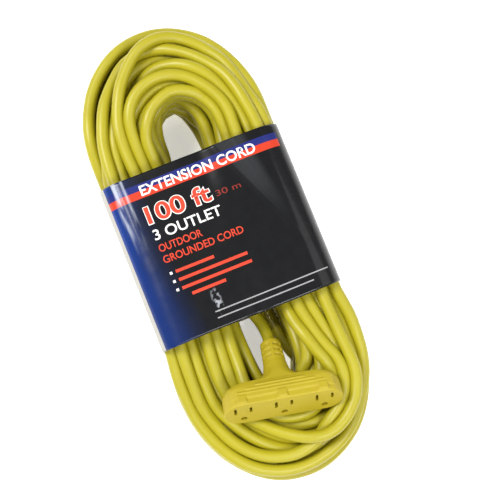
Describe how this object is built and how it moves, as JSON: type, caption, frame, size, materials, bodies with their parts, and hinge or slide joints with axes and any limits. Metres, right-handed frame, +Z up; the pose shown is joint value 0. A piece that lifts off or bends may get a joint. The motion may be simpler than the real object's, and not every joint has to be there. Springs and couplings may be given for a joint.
{
  "type": "extension cord",
  "caption": "Heavy outdoor extension cord folded into a long hank under a printed card sleeve, with a moulded multi-outlet tap lying on it and a clear plug tucked inside.",
  "frame": {"origin": "on the surface, under the middle of the hank's box", "axes": "+Y along the hank, away from the tap; +X to the right seen from above with the tap at the bottom; +Z up"},
  "size_m": [0.17, 0.4074, 0.1021],
  "materials": {
    "cord_jacket": "satin soft PVC, safety yellow",
    "tap_overmould": "matte moulded PVC, golden yellow",
    "clear_overmould": "clear moulded PVC, slightly yellow",
    "printed_card": "glossy laminated print",
    "carrier_plastic": "hard moulded plastic",
    "brass": "stamped",
    "nickel_plate": "satin nickel plating",
    "copper": "bare stranded copper",
    "insulation_black": "PVC insulation",
    "insulation_white": "PVC insulation",
    "insulation_green": "PVC insulation"
  },
  "bodies": {
    "cord": {"cord_hank": "cord_jacket", "cord_tap_lead": "cord_jacket", "cord_plug_lead": "cord_jacket", "tap_body": "tap_overmould", "tap_contact_carrier": "carrier_plastic", "tap_carrier_cover": "carrier_plastic", "tap_line_contacts": "brass", "tap_neutral_contacts": "nickel_plate", "tap_ground_contacts": "brass", "tap_line_wire": "insulation_black", "tap_neutral_wire": "insulation_white", "tap_ground_wire": "insulation_green", "tap_copper_ends": "copper", "plug_body": "clear_overmould", "plug_blade_bridge": "carrier_plastic", "plug_line_blade": "nickel_plate", "plug_neutral_blade": "nickel_plate", "plug_ground_pin": "nickel_plate", "plug_crimps": "brass", "plug_line_wire": "insulation_black", "plug_neutral_wire": "insulation_white", "plug_ground_wire": "insulation_green", "plug_copper_ends": "copper"},
    "sleeve": {"card_sleeve": "printed_card"}
  },
  "joints": [
    {"name": "sleeve_slide", "type": "slide", "parent": "cord", "child": "sleeve", "axis": [0, 1, 0], "range_m": [0, 0.275]}
  ]
}
